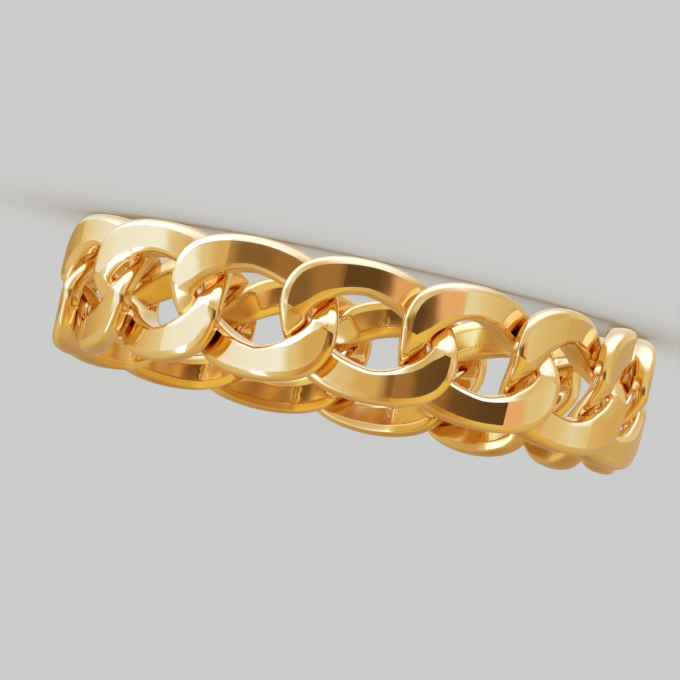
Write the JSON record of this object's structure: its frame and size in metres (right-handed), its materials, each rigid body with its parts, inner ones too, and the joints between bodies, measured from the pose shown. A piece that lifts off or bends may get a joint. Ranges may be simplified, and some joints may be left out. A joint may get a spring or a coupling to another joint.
{
  "type": "chain link finger ring",
  "caption": "Finger ring made as a closed loop of flat curb chain links, open through the middle.",
  "frame": {"origin": "centre of the finger hole, half way across the band", "axes": "+Z along the finger; link_01 faces -Y, turned 3 degrees towards -X"},
  "size_m": [0.021, 0.021, 0.0048],
  "materials": {
    "gold": "polished"
  },
  "bodies": {
    "root": {"link_01": "gold", "link_02": "gold", "link_03": "gold", "link_04": "gold", "link_05": "gold", "link_06": "gold", "link_07": "gold", "link_08": "gold", "link_09": "gold", "link_10": "gold", "link_11": "gold", "link_12": "gold", "link_13": "gold", "link_14": "gold", "link_15": "gold"}
  },
  "joints": []
}
